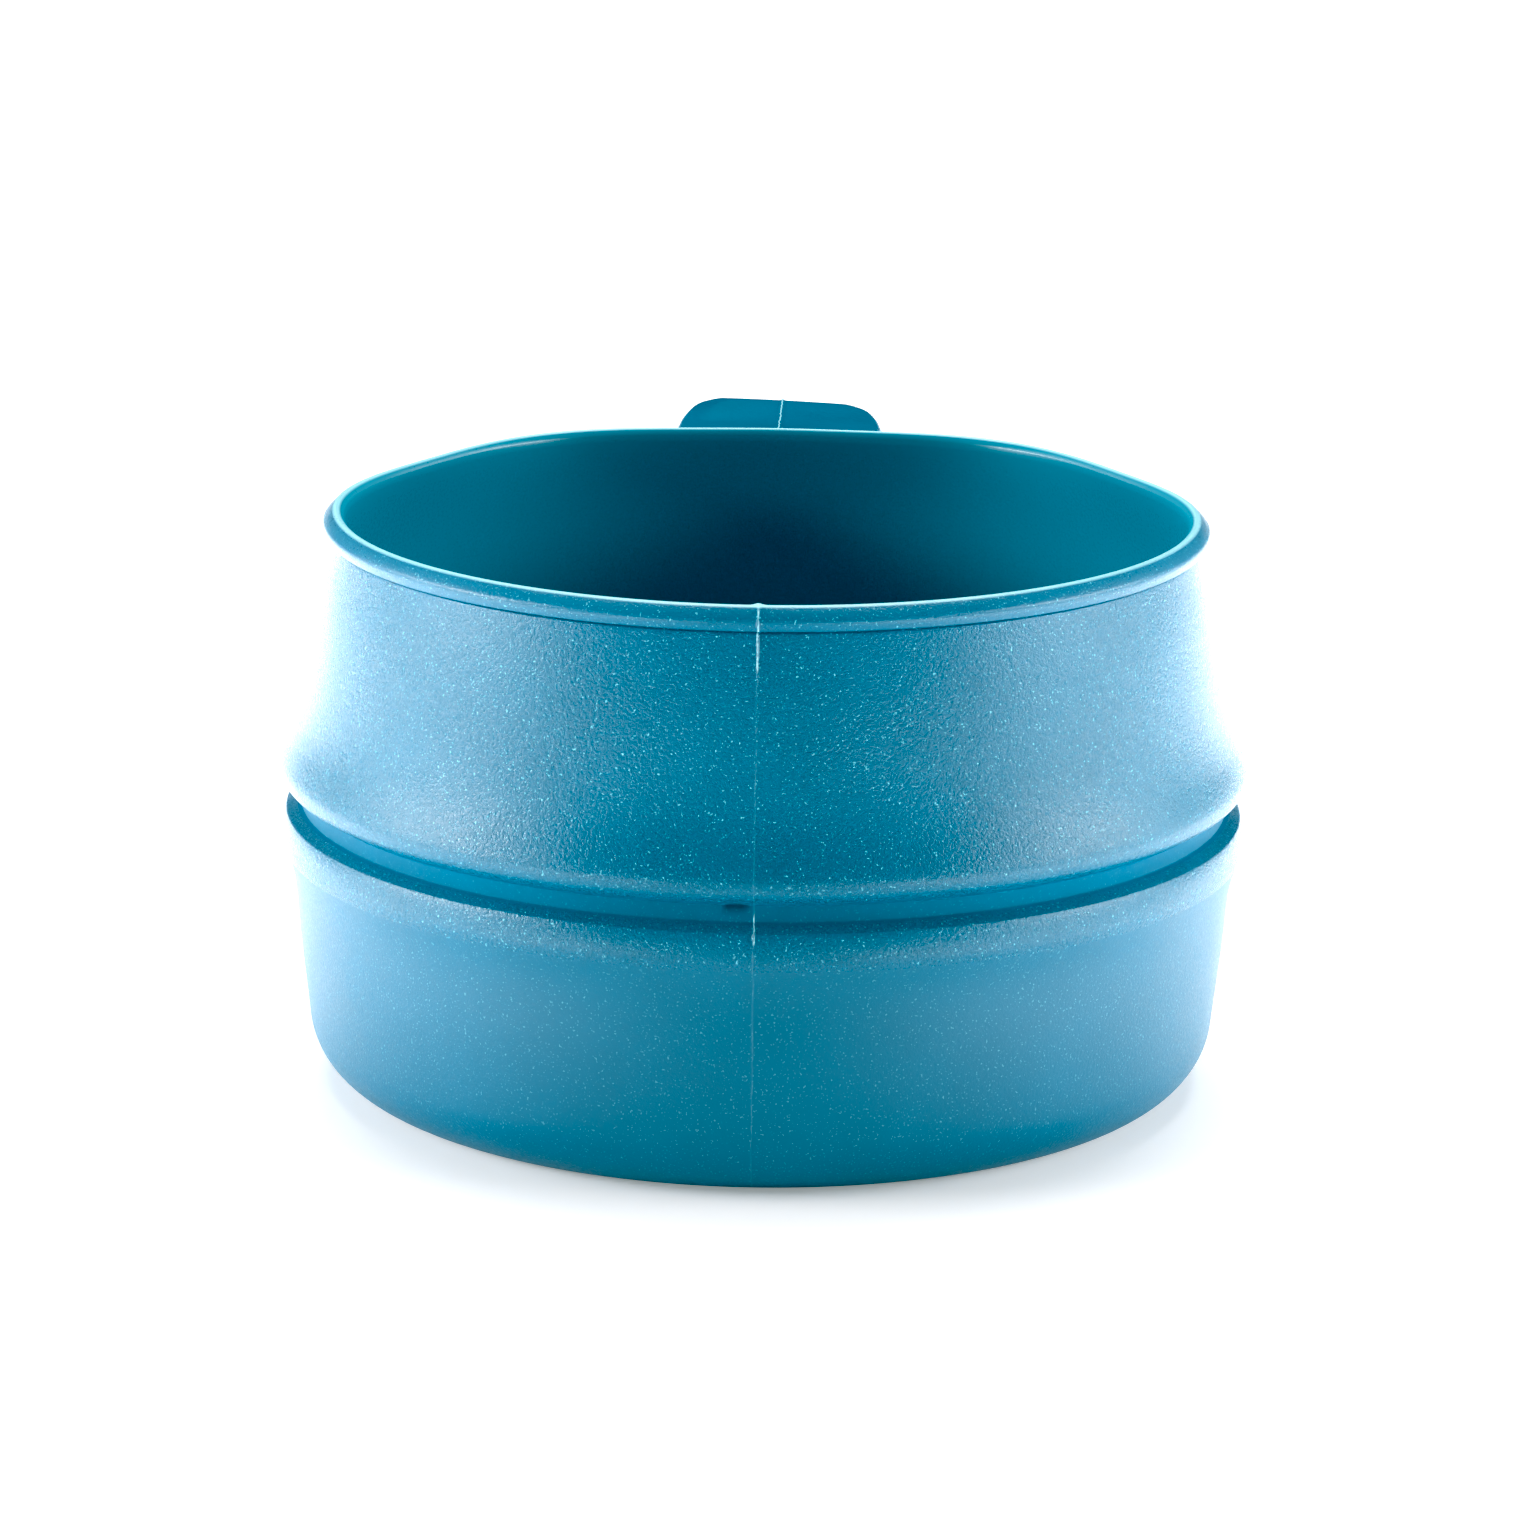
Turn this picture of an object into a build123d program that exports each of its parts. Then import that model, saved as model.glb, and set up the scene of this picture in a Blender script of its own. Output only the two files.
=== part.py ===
from build123d import *
import math
import os

# Collapsible travel cup: a soft one-piece moulding with a rolled rim, a fold zone
# at mid height and a finger loop. Millimetres, +Z up, handle towards +Y.
# The origin is the centre of the flat bottom, on the surface the cup stands on.
# The moulding is cut into named zones along its own feature lines.

# Driving dimensions.
RIM_HEIGHT = 54.8
RIM_CREST_RADIUS = 40.4
RIM_INNER_RADIUS = 39.6
BEAD_RADIUS = 41.7
BEAD_MID_HEIGHT = 53.4
BEAD_FOOT_RADIUS = 40.85
BEAD_FOOT_HEIGHT = 52.3

RIDGE_RADIUS = 46.0
UPPER_RIDGE_HEIGHT = 30.62
UPPER_RIDGE_ROUND = 1.8
UPPER_RIDGE_UNDERSIDE_ANGLE = 30.0
UPPER_WALL_LEAN = 19.0

LOWER_RIDGE_RADIUS = 45.7
LOWER_RIDGE_HEIGHT = 25.1
LOWER_RIDGE_ROUND = 1.1
LOWER_RIDGE_TOP_ANGLE = 65.0

BAND_RADIUS = 43.8
HINGE_THICKNESS = 0.6
WALL_THICKNESS = 1.2

CORNER_RADIUS = 6.7
CORNER_CENTRE_RADIUS = 36.4
LOWER_WALL_LEAN = 6.0

# The bottom panel moves apart from the wall, so a hair of clearance parts them.
BOTTOM_PANEL_RADIUS = 36.1
PANEL_CLEARANCE = 0.1

HANDLE_THICKNESS = 2.2
HANDLE_REACH = 60.2
HANDLE_TOP_HEIGHT = 53.9
HANDLE_FOOT_HEIGHT = 34.6
HANDLE_FOOT_REACH = 58.0
HANDLE_TOP_BEND = 4.0
HANDLE_FOOT_BEND = 6.0
HANDLE_SPLIT = 52.5

# The handle's outline from above: half width, and distance from the axis.
HANDLE_ROOT_WIDTH = 21.6
HANDLE_END_WIDTH = 12.4
HANDLE_SHOULDER = (9.4, 50.0)
HANDLE_WAIST = (7.0, 55.6)

# Heights where one named zone of the wall ends and the next begins.
CORNER_TOP = 6.0
LOWER_WALL_TOP = 22.6
LOWER_RIDGE_TOP = 26.6
FOLD_BAND_TOP = 28.8
UPPER_RIDGE_TOP = 33.0

# Room that every cutting block takes beyond the cup.
MARGIN = 10.0


def on_circle(centre_radius, centre_height, radius, angle):
    """Point of a round in the section plane, with the angle from outward, upward positive."""
    turn = math.radians(angle)
    return (centre_radius + radius * math.cos(turn), centre_height + radius * math.sin(turn))


def leaning(angle):
    """Upward direction in the section plane that leans outward by an angle."""
    turn = math.radians(angle)
    return (math.sin(turn), math.cos(turn))


def inward(point, thickness):
    """The point of the inner surface behind a point of a steep wall."""
    return (point[0] - thickness, point[1])


# Points of the outer section that the inner section needs too.
corner_end = on_circle(CORNER_CENTRE_RADIUS, CORNER_RADIUS, CORNER_RADIUS, -LOWER_WALL_LEAN)
lower_wall_points = [(44.1, 15.8), (45.2, 22.2)]
upper_wall_points = [(45.05, 33.2), (43.35, 39.3), (41.8, 48.0)]
bead_foot = (BEAD_FOOT_RADIUS, BEAD_FOOT_HEIGHT)


def outer_lines():
    """The outer section, from the axis at the bottom to the crest of the rim."""
    bottom = Line((0, 0), (CORNER_CENTRE_RADIUS, 0))
    corner = CenterArc(
        (CORNER_CENTRE_RADIUS, CORNER_RADIUS), CORNER_RADIUS, -90, 90 - LOWER_WALL_LEAN
    )
    ridge_side = (LOWER_RIDGE_RADIUS, LOWER_RIDGE_HEIGHT)
    lower_wall = Spline(
        corner @ 1, *lower_wall_points, ridge_side, tangents=[leaning(LOWER_WALL_LEAN), (0, 1)]
    )
    lower_ridge = CenterArc(
        (LOWER_RIDGE_RADIUS - LOWER_RIDGE_ROUND, LOWER_RIDGE_HEIGHT),
        LOWER_RIDGE_ROUND,
        0,
        LOWER_RIDGE_TOP_ANGLE,
    )
    shoulder = lower_ridge @ 1
    fall = (shoulder.X - BAND_RADIUS) / math.tan(math.radians(LOWER_RIDGE_TOP_ANGLE))
    band_foot = (BAND_RADIUS, shoulder.Y + fall)
    lower_ridge_top = Line(shoulder, band_foot)
    ridge_centre = (RIDGE_RADIUS - UPPER_RIDGE_ROUND, UPPER_RIDGE_HEIGHT)
    upper_ridge = CenterArc(
        ridge_centre,
        UPPER_RIDGE_ROUND,
        UPPER_RIDGE_UNDERSIDE_ANGLE - 90,
        90 - UPPER_RIDGE_UNDERSIDE_ANGLE + UPPER_WALL_LEAN,
    )
    lip = upper_ridge @ 0
    drop = (lip.X - BAND_RADIUS) * math.tan(math.radians(UPPER_RIDGE_UNDERSIDE_ANGLE))
    band_top = (BAND_RADIUS, lip.Y - drop)
    band = Line(band_foot, band_top)
    underside = Line(band_top, lip)
    upper_wall = Spline(
        upper_ridge @ 1,
        *upper_wall_points,
        bead_foot,
        tangents=[leaning(-UPPER_WALL_LEAN), leaning(-12)],
    )
    crest = (RIM_CREST_RADIUS, RIM_HEIGHT)
    bead = ThreePointArc(bead_foot, (BEAD_RADIUS, BEAD_MID_HEIGHT), crest)
    return [
        bottom,
        corner,
        lower_wall,
        lower_ridge,
        lower_ridge_top,
        band,
        underside,
        upper_ridge,
        upper_wall,
        bead,
    ]


def inner_lines():
    """The inner section, from the crest of the rim down to the axis at the floor."""
    crest = (RIM_CREST_RADIUS, RIM_HEIGHT)
    lip_foot = (RIM_INNER_RADIUS, RIM_HEIGHT - 1.2)
    lip = ThreePointArc(crest, (RIM_INNER_RADIUS + 0.15, RIM_HEIGHT - 0.4), lip_foot)
    ridge_inside = (RIDGE_RADIUS - 1.3, UPPER_RIDGE_HEIGHT + 0.2)
    upper_wall = Spline(
        lip_foot,
        inward(upper_wall_points[2], WALL_THICKNESS),
        inward(upper_wall_points[1], WALL_THICKNESS),
        inward(upper_wall_points[0], WALL_THICKNESS),
        ridge_inside,
        tangents=[(0.05, -1), (0.2, -1)],
    )
    band_inside = BAND_RADIUS - HINGE_THICKNESS
    band_top = (band_inside, FOLD_BAND_TOP)
    band_foot = (band_inside, LOWER_RIDGE_TOP)
    ridge_turn = Line(ridge_inside, (RIDGE_RADIUS - 1.6, UPPER_RIDGE_HEIGHT - 0.6))
    to_band = Line(ridge_turn @ 1, band_top)
    band = Line(band_top, band_foot)
    lower_turn = (LOWER_RIDGE_RADIUS - 1.25, LOWER_RIDGE_HEIGHT - 0.3)
    to_lower_wall = Line(band_foot, lower_turn)
    inner_corner = CORNER_RADIUS - WALL_THICKNESS
    corner = CenterArc(
        (CORNER_CENTRE_RADIUS, CORNER_RADIUS), inner_corner, -LOWER_WALL_LEAN, LOWER_WALL_LEAN - 90
    )
    lower_wall = Spline(
        lower_turn,
        inward(lower_wall_points[1], WALL_THICKNESS),
        inward(lower_wall_points[0], WALL_THICKNESS),
        corner @ 0,
        tangents=[(0, -1), (-leaning(LOWER_WALL_LEAN)[0], -leaning(LOWER_WALL_LEAN)[1])],
    )
    floor = Line((CORNER_CENTRE_RADIUS, WALL_THICKNESS), (0, WALL_THICKNESS))
    return [
        lip,
        upper_wall,
        ridge_turn,
        to_band,
        band,
        to_lower_wall,
        lower_wall,
        corner,
        floor,
    ]


def spun(lines):
    """A solid of revolution about Z from a closed section of radius and height."""
    face = Plane.XZ * make_face(lines)
    return revolve(face, Axis.Z)


def shell():
    """The whole moulding without its handle."""
    axis = Line((0, WALL_THICKNESS), (0, 0))
    return spun(outer_lines() + inner_lines() + [axis])


def core():
    """The cup's outer shape, filled in."""
    top = Line((RIM_CREST_RADIUS, RIM_HEIGHT), (0, RIM_HEIGHT))
    axis = Line((0, RIM_HEIGHT), (0, 0))
    return spun(outer_lines() + [top, axis])


def slab(low, high):
    """A round block between two heights, wider than the cup."""
    height = high - low
    return Pos(0, 0, low + height / 2) * Cylinder(RIDGE_RADIUS + MARGIN, height)


def handle():
    """The finger loop: a strap that leaves the rim, bends down and returns above the ridge."""
    half = HANDLE_THICKNESS / 2
    path = FilletPolyline(
        (RIM_CREST_RADIUS - 3, HANDLE_TOP_HEIGHT - half),
        (HANDLE_REACH - half, HANDLE_TOP_HEIGHT - half),
        (HANDLE_FOOT_REACH - half, HANDLE_FOOT_HEIGHT),
        (RIM_CREST_RADIUS - 3, HANDLE_FOOT_HEIGHT),
        radius=[HANDLE_TOP_BEND, HANDLE_FOOT_BEND],
    )
    strap = Plane.YZ * trace(path, line_width=HANDLE_THICKNESS)
    side_view = extrude(strap, HANDLE_ROOT_WIDTH, both=True)
    right_root = (HANDLE_ROOT_WIDTH / 2, RIM_CREST_RADIUS)
    right_end = (HANDLE_END_WIDTH / 2, HANDLE_REACH)
    along = (0, 1)
    side = Spline(
        right_root, HANDLE_SHOULDER, HANDLE_WAIST, right_end, tangents=[along, along]
    )
    rest = Polyline(right_end, (0, HANDLE_REACH), (0, 0), (right_root[0], 0), right_root)
    right = make_face([side, rest])
    plan = right + mirror(right, Plane.YZ)
    return (side_view & extrude(plan, RIM_HEIGHT + MARGIN)) - core()


def box_between(low, high):
    """A block from its lowest to its highest corner."""
    size = [b - a for a, b in zip(low, high)]
    middle = [(a + b) / 2 for a, b in zip(low, high)]
    return Pos(*middle) * Box(*size)


def bottom_and_corner(whole):
    """The flat bottom panel, and the round corner that carries the wall."""
    foot = whole & slab(0, CORNER_TOP)
    panel = Pos(0, 0, WALL_THICKNESS / 2) * Cylinder(BOTTOM_PANEL_RADIUS, WALL_THICKNESS)
    cutter_height = 2 * CORNER_TOP
    cutter = Cylinder(BOTTOM_PANEL_RADIUS + PANEL_CLEARANCE, cutter_height)
    return panel, foot - cutter


def write(name, shape):
    """One STEP file for each zone, with its solids."""
    solids = shape.solids()
    shape = solids[0] if len(solids) == 1 else Compound(children=solids)
    shape.label = name
    export_step(shape, f"parts/{name}.step")


def main():
    os.makedirs("parts", exist_ok=True)
    whole = shell()
    panel, corner = bottom_and_corner(whole)
    write("base_panel", panel)
    write("base_corner", corner)

    zones = {
        "lower_wall": (CORNER_TOP, LOWER_WALL_TOP),
        "lower_ridge": (LOWER_WALL_TOP, LOWER_RIDGE_TOP),
        "fold_band": (LOWER_RIDGE_TOP, FOLD_BAND_TOP),
        "upper_ridge": (FOLD_BAND_TOP, UPPER_RIDGE_TOP),
        "upper_wall": (UPPER_RIDGE_TOP, BEAD_FOOT_HEIGHT),
        "rim_bead": (BEAD_FOOT_HEIGHT, RIM_HEIGHT + MARGIN),
    }
    for name, (low, high) in zones.items():
        write(name, whole & slab(low, high))

    loop = handle()
    half_width = HANDLE_ROOT_WIDTH
    middle = (HANDLE_TOP_HEIGHT + HANDLE_FOOT_HEIGHT) / 2
    top = RIM_HEIGHT + MARGIN
    beyond = HANDLE_REACH + MARGIN
    blocks = {
        "handle_top_arm": ((-half_width, 0, middle), (half_width, HANDLE_SPLIT, top)),
        "handle_lower_arm": ((-half_width, 0, 0), (half_width, HANDLE_SPLIT, middle)),
        "handle_outer_strap": ((-half_width, HANDLE_SPLIT, 0), (half_width, beyond, top)),
    }
    for name, (low, high) in blocks.items():
        write(name, loop & box_between(low, high))


main()
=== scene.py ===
import math

import bpy
import numpy as np
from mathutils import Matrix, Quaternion, Vector


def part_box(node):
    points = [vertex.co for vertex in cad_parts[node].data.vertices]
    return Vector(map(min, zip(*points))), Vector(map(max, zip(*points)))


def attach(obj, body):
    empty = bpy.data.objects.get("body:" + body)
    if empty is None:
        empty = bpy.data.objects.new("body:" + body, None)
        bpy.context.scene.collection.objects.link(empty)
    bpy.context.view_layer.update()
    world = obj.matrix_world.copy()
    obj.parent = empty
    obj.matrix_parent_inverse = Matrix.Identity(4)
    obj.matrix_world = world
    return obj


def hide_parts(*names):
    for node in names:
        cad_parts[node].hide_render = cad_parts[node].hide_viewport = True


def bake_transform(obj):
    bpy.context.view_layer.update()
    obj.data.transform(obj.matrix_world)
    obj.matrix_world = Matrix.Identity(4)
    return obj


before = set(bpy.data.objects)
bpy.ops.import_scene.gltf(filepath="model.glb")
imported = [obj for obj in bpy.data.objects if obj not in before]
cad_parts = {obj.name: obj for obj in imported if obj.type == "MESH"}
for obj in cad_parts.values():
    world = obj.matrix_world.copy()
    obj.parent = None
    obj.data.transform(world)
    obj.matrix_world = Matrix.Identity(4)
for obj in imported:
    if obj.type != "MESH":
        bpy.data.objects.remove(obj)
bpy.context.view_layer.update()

# Everything is worked out in millimetres, as the model is drawn, and made in metres.
MM = 0.001


def node_box(node):
    """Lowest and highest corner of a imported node, in millimetres."""
    low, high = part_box(node)
    return np.array(low) / MM, np.array(high) / MM


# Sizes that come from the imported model.
RIM_HEIGHT = node_box("rim_bead")[1][2]
BEAD_RADIUS = node_box("rim_bead")[1][0]
BEAD_FOOT_HEIGHT = node_box("rim_bead")[0][2]
RIDGE_RADIUS = node_box("upper_ridge")[1][0]
LOWER_RIDGE_RADIUS = node_box("lower_ridge")[1][0]
CORNER_TOP = node_box("base_corner")[1][2]
LOWER_WALL_TOP = node_box("lower_wall")[1][2]
LOWER_RIDGE_TOP = node_box("lower_ridge")[1][2]
FOLD_BAND_TOP = node_box("fold_band")[1][2]
UPPER_RIDGE_TOP = node_box("upper_ridge")[1][2]
WALL = node_box("base_panel")[1][2]
PANEL_RADIUS = node_box("base_panel")[1][0] + 0.05
HANDLE_TOP = node_box("handle_top_arm")[1][2]
HANDLE_THICKNESS = HANDLE_TOP - node_box("handle_top_arm")[0][2]
HANDLE_ROOT_HALF = node_box("handle_top_arm")[1][0]
HANDLE_SPLIT = node_box("handle_outer_strap")[0][1]

# The rest of the section, as it is drawn in the model.
RIM_CREST_RADIUS = 40.4
RIM_INNER_RADIUS = 39.6
BEAD_FOOT_RADIUS = 40.85
CORNER_RADIUS = 6.7
CORNER_CENTRE = 36.4
LOWER_LEAN = 6.0
UPPER_LEAN = 19.0
BAND_RADIUS = 43.8
HINGE_THICKNESS = 0.6
UPPER_RIDGE_HEIGHT = 30.62
UPPER_RIDGE_ROUND = 1.8
LOWER_RIDGE_HEIGHT = 25.1

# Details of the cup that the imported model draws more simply, in mm and degrees.
LOWER_RIDGE_DROP = 1.25
LOWER_RIDGE_ROUND = 6.0
LOWER_RIDGE_TILT = 22
SHOULDER_ANGLE = 65
UNDERCUT_ANGLE = 30
UPPER_TOP_LEAN = 12
BEAD_ROUND = 0.75
BEAD_GROOVE = 0.26
BEAD_SHOULDER = 0.3
LOWER_WALL_POINTS = [(44.1, 15.8), (45.2, 22.2)]
UPPER_WALL_POINTS = [(45.05, 33.2), (43.35, 39.3), (41.8, 48.0)]


# ---------------------------------------------------------------- section


def arc(centre, radius, start, end, steps=24):
    """Points of an arc in the section plane, angles in degrees from outward."""
    turn = np.radians(np.linspace(start, end, steps))
    return np.stack([centre[0] + radius * np.cos(turn), centre[1] + radius * np.sin(turn)], -1)


def line(a, b):
    """Points of a straight stretch, about 0.2 mm apart."""
    a, b = np.array(a, float), np.array(b, float)
    steps = max(2, int(np.linalg.norm(b - a) / 0.2))
    return a + (b - a) * np.linspace(0, 1, steps)[:, None]


def spline(points, start, end, steps=160):
    """A cubic spline through points, with its direction given at both ends."""
    p = np.array(points, float)
    t = np.concatenate([[0], np.cumsum(np.linalg.norm(np.diff(p, axis=0), axis=1))])
    n = len(p)
    matrix = np.zeros((n, n))
    right = np.zeros((n, 2))
    matrix[0, 0] = matrix[-1, -1] = 1
    right[0], right[-1] = np.array(start), np.array(end)
    for i in range(1, n - 1):
        a, b = t[i] - t[i - 1], t[i + 1] - t[i]
        matrix[i, i - 1 : i + 2] = b, 2 * (a + b), a
        right[i] = 3 * (b * (p[i] - p[i - 1]) / a + a * (p[i + 1] - p[i]) / b)
    slope = np.linalg.solve(matrix, right)
    out = []
    for s in np.linspace(0, t[-1], steps):
        i = min(np.searchsorted(t, s, "right") - 1, n - 2)
        h = t[i + 1] - t[i]
        u = (s - t[i]) / h
        out.append(
            (2 * u**3 - 3 * u**2 + 1) * p[i]
            + (u**3 - 2 * u**2 + u) * h * slope[i]
            + (3 * u**2 - 2 * u**3) * p[i + 1]
            + (u**3 - u**2) * h * slope[i + 1]
        )
    return np.array(out)


def leaning(degrees):
    """Upward direction that leans outward."""
    return np.array([math.sin(math.radians(degrees)), math.cos(math.radians(degrees))])


def outer_section():
    """Radius and height of the outer surface, from the bottom's centre to the crest of the rim."""
    corner = arc((CORNER_CENTRE, CORNER_RADIUS), CORNER_RADIUS, -90, -LOWER_LEAN, 40)
    ridge_side = (LOWER_RIDGE_RADIUS, LOWER_RIDGE_HEIGHT - LOWER_RIDGE_DROP)
    lower = spline([corner[-1], *LOWER_WALL_POINTS, ridge_side], leaning(LOWER_LEAN), (0, 1))
    ridge_centre = (LOWER_RIDGE_RADIUS - LOWER_RIDGE_ROUND, ridge_side[1])
    lower_ridge = arc(ridge_centre, LOWER_RIDGE_ROUND, 0, LOWER_RIDGE_TILT)
    shoulder = lower_ridge[-1]
    shoulder_rise = (shoulder[0] - BAND_RADIUS) / math.tan(math.radians(SHOULDER_ANGLE))
    foot = (BAND_RADIUS, shoulder[1] + shoulder_rise)
    ridge = arc(
        (RIDGE_RADIUS - UPPER_RIDGE_ROUND, UPPER_RIDGE_HEIGHT),
        UPPER_RIDGE_ROUND,
        UNDERCUT_ANGLE - 90,
        UPPER_LEAN,
    )
    lip = ridge[0]
    top = (BAND_RADIUS, lip[1] - (lip[0] - BAND_RADIUS) * math.tan(math.radians(UNDERCUT_ANGLE)))
    bead_foot = (BEAD_FOOT_RADIUS, BEAD_FOOT_HEIGHT)
    upper_points = [ridge[-1], *UPPER_WALL_POINTS, bead_foot]
    upper = spline(upper_points, leaning(-UPPER_LEAN), leaning(-UPPER_TOP_LEAN))
    groove = BEAD_FOOT_RADIUS - BEAD_GROOVE
    face = BEAD_RADIUS - BEAD_SHOULDER
    bead = np.concatenate([
        line(bead_foot, (groove, BEAD_FOOT_HEIGHT + 0.14)),
        line((groove, BEAD_FOOT_HEIGHT + 0.16), (face, BEAD_FOOT_HEIGHT + 0.3)),
        arc((BEAD_RADIUS - BEAD_ROUND, BEAD_FOOT_HEIGHT + 1.1), BEAD_ROUND, -35, 35, 12),
        line((face, BEAD_FOOT_HEIGHT + 1.7), (RIM_CREST_RADIUS + 0.35, RIM_HEIGHT - 0.12)),
        [(RIM_CREST_RADIUS, RIM_HEIGHT)],
    ])
    return np.concatenate([
        line((0, 0), (CORNER_CENTRE, 0)),
        corner,
        lower,
        lower_ridge,
        line(shoulder, foot),
        line(foot, top),
        line(top, lip),
        ridge,
        upper,
        bead,
    ])


def inner_section():
    """Radius and height of the inner surface, from the crest of the rim to the floor's centre."""
    lip_foot = (RIM_INNER_RADIUS, RIM_HEIGHT - 1.2)
    lip = [
        (RIM_CREST_RADIUS - 0.12, RIM_HEIGHT - 0.02),
        (RIM_INNER_RADIUS + 0.38, RIM_HEIGHT - 0.25),
        (RIM_INNER_RADIUS + 0.12, RIM_HEIGHT - 0.62),
    ]
    behind = [(r - WALL, z) for r, z in UPPER_WALL_POINTS[::-1]]
    ridge_inside = (RIDGE_RADIUS - 1.3, UPPER_RIDGE_HEIGHT + 0.2)
    upper = spline([lip_foot, *behind, ridge_inside], (0.05, -1), (0.2, -1))
    turn = (RIDGE_RADIUS - 1.6, UPPER_RIDGE_HEIGHT - 0.6)
    band = BAND_RADIUS - HINGE_THICKNESS
    lower_turn = (LOWER_RIDGE_RADIUS - 1.25, LOWER_RIDGE_HEIGHT - 0.3)
    corner = arc((CORNER_CENTRE, CORNER_RADIUS), CORNER_RADIUS - WALL, -LOWER_LEAN, -90, 40)
    behind_low = [(r - WALL, z) for r, z in LOWER_WALL_POINTS[::-1]]
    lower = spline([lower_turn, *behind_low, corner[0]], (0, -1), -leaning(LOWER_LEAN))
    return np.concatenate([
        lip,
        upper,
        line(ridge_inside, turn),
        line(turn, (band, FOLD_BAND_TOP)),
        line((band, FOLD_BAND_TOP), (band, LOWER_RIDGE_TOP)),
        line((band, LOWER_RIDGE_TOP), lower_turn),
        lower,
        corner,
        line((CORNER_CENTRE, WALL), (0, WALL)),
    ])


def softened(points, spacing=0.04, spread=0.065):
    """The same line with even spacing and every crease rounded by about twice the spread."""
    steps = np.linalg.norm(np.diff(points, axis=0), axis=1)
    points = points[np.concatenate([[True], steps > 1e-6])]
    t = np.concatenate([[0], np.cumsum(np.linalg.norm(np.diff(points, axis=0), axis=1))])
    even = np.arange(0, t[-1] + spacing / 2, spacing)
    dense = np.stack([np.interp(even, t, points[:, c]) for c in (0, 1)], -1)
    reach = int(4 * spread / spacing)
    weights = np.exp(-0.5 * (np.arange(-reach, reach + 1) * spacing / spread) ** 2)
    weights /= weights.sum()
    padded = np.concatenate([
        2 * dense[0] - dense[1 : reach + 1][::-1],
        dense,
        2 * dense[-1] - dense[-reach - 1 : -1][::-1],
    ])
    return np.stack([np.convolve(padded[:, c], weights, "valid") for c in (0, 1)], -1)


def with_cuts(points, heights, radius, low_side):
    """Adds the points where a line crosses the zone borders, and marks them."""
    out, marks = [points[0]], [True]
    for a, b in zip(points[:-1], points[1:]):
        for axis, value in [(1, h) for h in heights] + [(0, radius)]:
            if axis == 0 and min(a[1], b[1]) > low_side:
                continue
            if (a[axis] - value) * (b[axis] - value) < 0:
                share = (value - a[axis]) / (b[axis] - a[axis])
                out.append(a + (b - a) * share)
                marks.append(True)
        out.append(b)
        marks.append(False)
    marks[-1] = True
    return np.array(out), np.array(marks)


def thinned(points, marks, longest, sharpest):
    """Keeps the marked points, and between them as many as length and turning (degrees) ask for."""
    direction = np.diff(points, axis=0)
    angle = np.unwrap(np.arctan2(direction[:, 1], direction[:, 0]))
    turning = np.concatenate([[0], np.abs(np.diff(angle)), [0]])
    length = np.concatenate([[0], np.linalg.norm(direction, axis=1)])
    kept, cost = [0], 0.0
    for i in range(1, len(points)):
        cost += length[i] / longest + math.degrees(turning[min(i, len(turning) - 1)]) / sharpest
        if marks[i] or cost >= 1:
            kept.append(i)
            cost = 0.0
    return points[kept], marks[kept]


CUTS = [
    CORNER_TOP,
    LOWER_WALL_TOP,
    LOWER_RIDGE_TOP,
    FOLD_BAND_TOP,
    UPPER_RIDGE_TOP,
    BEAD_FOOT_HEIGHT,
]
LONGEST = 1.6
SHARPEST = 6.0


def finished_section():
    """Both surfaces as one line over the crest, with the index of every zone border."""
    outer = outer_section()
    inner = inner_section()
    whole = softened(np.concatenate([outer, inner]))
    whole[0, 0] = whole[-1, 0] = 0
    whole, marks = with_cuts(whole, CUTS, PANEL_RADIUS, WALL + 0.1)
    whole, marks = thinned(whole, marks, LONGEST, SHARPEST)
    return whole, np.flatnonzero(marks)


# ---------------------------------------------------------------- shape of the soft cup

# The cup is a little out of round by its handle: flat behind the rim and drawn in on both sides.
FLAT_DEPTH = 3.1
FLAT_HALF_ANGLE = 24.0
SIDE_DEPTH = 1.6
SIDE_ANGLE = 60.0
SIDE_SPREAD = 17.0
BACK_DEPTH = 0.5
ROUND_BELOW = 36.0
FADE_POWER = 2.5


def out_of_round(angle, height):
    """Radial offset of the soft wall. The angle is from the handle, in degrees."""
    a = np.abs(angle)
    depth = FLAT_DEPTH * np.exp(-((a / FLAT_HALF_ANGLE) ** 3))
    depth = depth + SIDE_DEPTH * np.exp(-(((a - SIDE_ANGLE) / SIDE_SPREAD) ** 2))
    depth = depth + BACK_DEPTH * np.clip(np.cos(np.radians(a)), 0, 1)
    rise = np.clip((height - ROUND_BELOW) / (RIM_HEIGHT - ROUND_BELOW), 0, 1.05)
    return -depth * rise**FADE_POWER


def bump(x, centre, spread):
    """A smooth bump of height 1."""
    return np.exp(-0.5 * ((x - centre) / spread) ** 2)


def between(x, low, high, soft):
    """Close to 1 between two values, 0 outside."""
    return 1 / (1 + np.exp(-(x - low) / soft)) / (1 + np.exp((x - high) / soft))


# The mould's parting line: its place beside the front's middle in degrees, and its sizes.
FRONT_TURN = 0.6
FLASH_SPREAD = 0.075
FLASH_FAINT = 0.035
FLASH_AT_RIM = 0.13
FLASH_AT_RIM_LENGTH = 3.3
FLASH_AT_FOLD = 0.09
FOLD_HEIGHTS = (25.4, 27.6)
FLASH_BEHIND = 0.05
FLASH_FROM = 3.0
LIP_TAB = 0.16

# The fault beside it: the stretch along the wall, then size, height and spread of its two halves.
NICK_STRETCH = (-2.7, -0.55)
NICK_SWELL = (0.45, 27.75, 0.25)
NICK_DENT = (0.6, 28.65, 0.28)


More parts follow.
